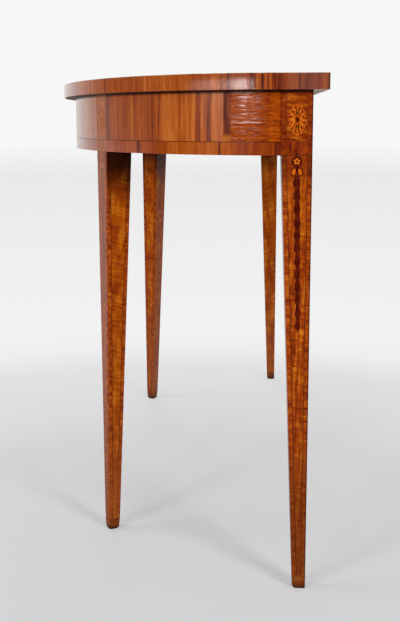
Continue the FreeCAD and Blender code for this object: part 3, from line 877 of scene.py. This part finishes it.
# Painted sheen: the inlays on the front pair take the same flat pinkish tint.
tint_between(boxwood, front_sheen_start, front_sheen_full, "#94522c", most=0.45, axis=1)
tint_between(scorched, front_sheen_start, front_sheen_full, "#784228", most=0.85, axis=1)
piece("pale_inlays", inlay_set(pale_kind), boxwood, "light_inlay", "paterae")
piece("patera_grounds", inlay_set(ground_kind), ground, "light_inlay", "paterae")
piece("dark_inlays", inlay_set(dark_kind), scorched, "dark_inlay", "husks", "paterae")


# Top veneers
# The upper face has a plain field inside a dark line and a broad crossband. The bowed edge is crossbanded
# in short upright leaves, its upper arris worn pale, and the back edge is left bare.

edge_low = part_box("top_edge_band")[0]
edge_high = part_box("top_crossband")[1]
top_half = edge_high.x
top_depth = bow_centre.y - edge_low.y
top_band = 0.045
top_line = 0.0015
top_arris = 0.0014
edge_start = 0.1
field_kind, top_line_kind, top_band_kind, edge_kind = range(4)


def top_sheet():
    """Upper face and bowed edge as one sheet, charted along the bow, and along the table at the back."""
    bm = bmesh.new()
    half_ellipse(bm, top_half, top_depth)
    bmesh.ops.translate(bm, vec=(0, 0, edge_high.z), verts=bm.verts)
    ends = [v for v in bm.verts if len(v.link_edges) == 1]
    made = bmesh.ops.extrude_vert_indiv(bm, verts=ends)["verts"]
    for vert in made:
        vert.co.y = edge_high.y
    bow = bm.edges[:]
    back = bm.edges.new(made)
    face = bmesh.ops.contextual_create(bm, geom=bow + [back])["faces"]
    for wall_face in raise_wall(bm, bow, [edge_low.z - edge_high.z]):
        wall_face.material_index = edge_kind
    for depth, kind in ((top_band, top_band_kind), (top_line, top_line_kind)):
        ring = bmesh.ops.inset_region(bm, faces=face, thickness=depth, use_even_offset=True,
                                      use_boundary=True)
        for ring_face in ring["faces"]:
            ring_face.material_index = kind
    bmesh.ops.recalc_face_normals(bm, faces=bm.faces)
    if face[0].normal.z < 0:
        bmesh.ops.reverse_faces(bm, faces=bm.faces)
    rim = [e for e in bm.edges if {f.material_index for f in e.link_faces} == {edge_kind, top_band_kind}]
    worn = bmesh.ops.bevel(bm, geom=rim, offset=top_arris, segments=3, profile=0.5, affect="EDGES",
                           material=-1)
    for worn_face in worn["faces"]:
        worn_face.material_index = edge_kind
    chart = bm.loops.layers.uv.new("UVMap")
    for face in bm.faces:
        centre = face.calc_center_median()
        left = centre.x < 0
        at_back = centre.y > edge_high.y - top_band
        for loop in face.loops:
            point = loop.vert.co.copy()
            point.x *= -1 if left else 1
            if face.material_index == field_kind or (at_back and face.material_index != edge_kind):
                loop[chart].uv = loop.vert.co.xy
            else:
                length = bow_length(bow_phi(point)) if point.y < bow_centre.y else bow_centre.y - point.y
                loop[chart].uv = (length + edge_start + (left_shift if left else 0), point.z)
    return bm


# Tulipwood round the edge, streaked, worn to bare pale wood in patches along the upper arris, with a
# painted greyish sheen near the back, and dark at its ends. The field is satinwood with its grain along the
# table.
edge_stops = [(0.15, "#45160a"), (0.38, "#7d330e"), (0.6, "#984711"), (0.85, "#bd6c2e")]
edge_streaks = [(0.0, 195), (0.041, 105), (0.0744, 185), (0.088, 140), (0.1, 95), (0.115, 195),
                (0.1195, 110), (0.1225, 200), (0.128, 90), (0.1315, 215), (0.1406, 75), (0.148, 160),
                (0.179, 80), (0.183, 170), (0.189, 65), (0.192, 215), (0.2076, 10), (0.209, 180),
                (0.24, 205), (0.274, 220), (0.3065, 215), (0.34, 185), (0.383, 200), (0.4437, 10),
                (0.4455, 215), (0.575, 190)]
edge_wood = wood("worn_tulipwood_edge", "UV", grain=(0.0024, 0.04, 1), figure=(0.006, 0.2, 1),
                 stops=edge_stops, roughness=(0.28, 0.4), streaks=edge_streaks, polish=1.0,
                 polish_roughness=0.14)
worn_arris, worn_patch = (edge_high.z - 0.0012, edge_high.z - 0.0003), 0.02
painted_back_sheen, dark_ends = (0.18, 0.2), (edge_high.y - 0.004, edge_high.y - 0.0015)
tint_between(edge_wood, *worn_arris, "#cbb08a", patches=worn_patch)
# Painted sheen: a greyish haze over the edge near the back.
tint_between(edge_wood, *painted_back_sheen, "#7a5248", most=0.35, axis=1)
tint_between(edge_wood, *dark_ends, "#2a130c", most=0.8, axis=1)
field_wood = wood("satinwood_field", "UV", grain=(0.08, 0.0015, 1), figure=(0.25, 0.02, 1),
                  stops=satinwood_stops, figure_share=0.6, roughness=(0.25, 0.35), polish=0.45)
top_band_wood = wood("tulipwood_top_band", "UV", grain=(0.0024, 0.05, 1), figure=(0.01, 0.2, 1),
                     stops=band_stops, roughness=(0.25, 0.38), leaves=(0.045, 0.3), polish=0.45)
lay_sheet(top_sheet(), [("top_face_field", field_wood, "satinwood_veneer", "top_field"),
                        ("top_face_line", line_wood, "dark_line", "top_stringing"),
                        ("top_face_band", top_band_wood, "crossband_veneer", "top_crossband"),
                        ("top_bowed_edge", edge_wood, "crossband_veneer", "top_edge_band")])


# Stage
# A plain pale floor of matt paper that fades to white around the table, under six soft lamps. It is clear
# from below. Two of the lamps show in the polish, and the others only light the table.

floor_radius = 30
shade_centre = (0.35, 0, 0)
shade_spread = 1.8
floor_mesh = bmesh.new()
bmesh.ops.create_circle(floor_mesh, cap_ends=True, radius=floor_radius, segments=64)
mesh = bpy.data.meshes.new("floor")
floor_mesh.to_mesh(mesh)
floor_mesh.free()
floor = bpy.data.objects.new("floor", mesh)
bpy.context.scene.collection.objects.link(floor)
paper = bpy.data.materials.new("paper_floor")
paper.use_nodes = True
mesh.materials.append(paper)
tree = paper.node_tree
bsdf = tree.nodes["Principled BSDF"]
place = add(tree, "TexCoord").outputs["Object"]
rightward = add(tree, "SeparateXYZ", {0: place})
slope = add(tree, "MapRange", {"Value": rightward, "From Min": -0.2, "From Max": 0.8})
pale = add(tree, "Mix", {0: slope, 6: linear("#ececec"), 7: linear("#cccbcc")}, data_type="RGBA")
plug(tree, bsdf, {"Base Color": pale.outputs[2], "Roughness": 0.9, "Specular IOR Level": 0.1})

# The camera sees lit paper near the table, and further off a tone that turns white with distance.
offset = add(tree, "VectorMath", {0: place, 1: shade_centre}, operation="SUBTRACT")
reach = add(tree, "VectorMath", {0: offset}, operation="LENGTH").outputs["Value"]
near = add(tree, "Math", {0: reach, 1: shade_spread}, operation="ADD")
near = add(tree, "Math", {0: 1.0, 1: near}, operation="DIVIDE")
# Two faint darker rings in these tones are painted shade: one just beyond the table, and a far one for the
# table's shadow on a backdrop.
tints = [(0.03, "#f6f6f6"), (0.07, "#e9e9e9"), (0.16, "#eeeeee"), (0.285, "#f2f2f2"), (0.315, "#eeeeee"),
         (0.345, "#e7e7e7"), (0.37, "#eaeaea"), (0.415, "#eeeeee"), (0.46, "#efeeef"), (0.6, "#e3e2e3")]
white = add(tree, "Emission", {"Color": add(tree, "ValToRGB", {"Fac": near}, tints), "Strength": 1.0})
share = add(tree, "MapRange", {"Value": reach, "From Min": 0.5, "From Max": 1.4, "To Min": 0.35,
                               "To Max": 1.0})
shown = add(tree, "MixShader", {0: share, 1: bsdf, 2: white})

# The polish mirrors the floor bright at the left end and dim at the right, and other light bounces off a
# dull grey.
dim = add(tree, "MapRange", {"Value": rightward, "From Min": -0.6, "From Max": 0.9, "To Min": 0.9,
                             "To Max": 0.06})
mirrored = add(tree, "Emission", {"Color": linear("#f1f1f1"), "Strength": dim})
path = add(tree, "LightPath").outputs
dull = add(tree, "BsdfDiffuse", {"Color": linear("#b0b0b0")})
bounced = add(tree, "MixShader", {0: path["Is Glossy Ray"], 1: dull, 2: mirrored})
faded = add(tree, "MixShader", {0: path["Is Camera Ray"], 1: bounced, 2: shown})
below = add(tree, "NewGeometry").outputs["Backfacing"]
sided = add(tree, "MixShader", {0: below, 1: faded, 2: add(tree, "BsdfTransparent")})
plug(tree, tree.nodes["Material Output"], {"Surface": sided})

# The room is white to the camera. It fills from beyond the left end, and mirrors bright there.
world = bpy.data.worlds.new("studio")
bpy.context.scene.world = world
world.use_nodes = True
tree = world.node_tree
direction = add(tree, "TexCoord").outputs["Generated"]
rightward = add(tree, "SeparateXYZ", {0: direction})
fill = add(tree, "MapRange", {"Value": rightward, "From Min": -0.7, "From Max": 0.5, "To Min": 0.6,
                              "To Max": 0.08})
sheen = add(tree, "MapRange", {"Value": rightward, "From Min": -0.9, "From Max": -0.45, "To Min": 1.0,
                               "To Max": 0.06})
path = add(tree, "LightPath").outputs
lit = add(tree, "Mix", {0: path["Is Glossy Ray"], 2: fill, 3: sheen})
strength = add(tree, "Mix", {0: path["Is Camera Ray"], 2: lit, 3: 1.0})
plug(tree, tree.nodes["Background"], {"Color": linear("#f7f7f7"), "Strength": strength})


def lamp(name, spot, aim, size, power, mirrored=False):
    """Soft rectangular lamp that faces a point, and may show in the polish."""
    light = bpy.data.lights.new(name, "AREA")
    light.shape = "RECTANGLE"
    light.size, light.size_y = size
    light.energy = power
    made = bpy.data.objects.new(name, light)
    made.location = spot
    made.rotation_euler = (Vector(aim) - Vector(spot)).to_track_quat("-Z", "Y").to_euler()
    made.visible_glossy = mirrored
    bpy.context.scene.collection.objects.link(made)


right_end = (0.6, 0, 0.75)
lamp("left_softbox", (2.82, -0.93, 1.1), aim=right_end, size=(0.36, 0.46), power=9, mirrored=True)
lamp("far_left_softbox", (2.32, -1.63, 1.02), aim=right_end, size=(1.0, 0.5), power=4, mirrored=True)
lamp("near_left_softbox", (2.75, -1.8, 1.25), aim=(0.3, 0, 0.5), size=(0.6, 0.5), power=31)
lamp("right_softbox", (2.5, 1.7, 1.25), aim=(0.2, 0, 0.6), size=(0.7, 0.5), power=47)
lamp("front_softbox", (0.6, -3.0, 1.3), aim=(0.2, 0, 0.6), size=(1.6, 1.0), power=36)
lamp("low_left_end_softbox", (-2.4, -0.5, 0.5), aim=(-0.5, 0, 0.7), size=(0.8, 0.8), power=18)


# Camera
# It stands off the right end of the table, a little below the top, and looks slightly down. The picture
# is upright, so its lens and shift are measured on its height in pixels.

image_height = 622
focal_pixels = 951.6
centre_row = 267.44
camera_yaw, camera_pitch = -0.0380, 0.1508
camera_spot = Vector((2.14603, 0.11367, 0.76308))
sensor = 36.0

camera_data = bpy.data.cameras.new("camera")
camera_data.sensor_width = sensor
camera_data.lens = focal_pixels / image_height * sensor
camera_data.shift_y = (centre_row - image_height / 2) / image_height
camera = bpy.data.objects.new("camera", camera_data)
level = math.cos(camera_pitch)
forward = Vector((-math.cos(camera_yaw) * level, math.sin(camera_yaw) * level, -math.sin(camera_pitch)))
right = Vector((math.sin(camera_yaw), math.cos(camera_yaw), 0))
up = right.cross(forward)
turn = Matrix((right, up, -forward)).transposed().to_4x4()
camera.matrix_world = Matrix.Translation(camera_spot) @ turn
bpy.context.scene.collection.objects.link(camera)
bpy.context.scene.camera = camera
bpy.context.scene.view_settings.view_transform = "Standard"
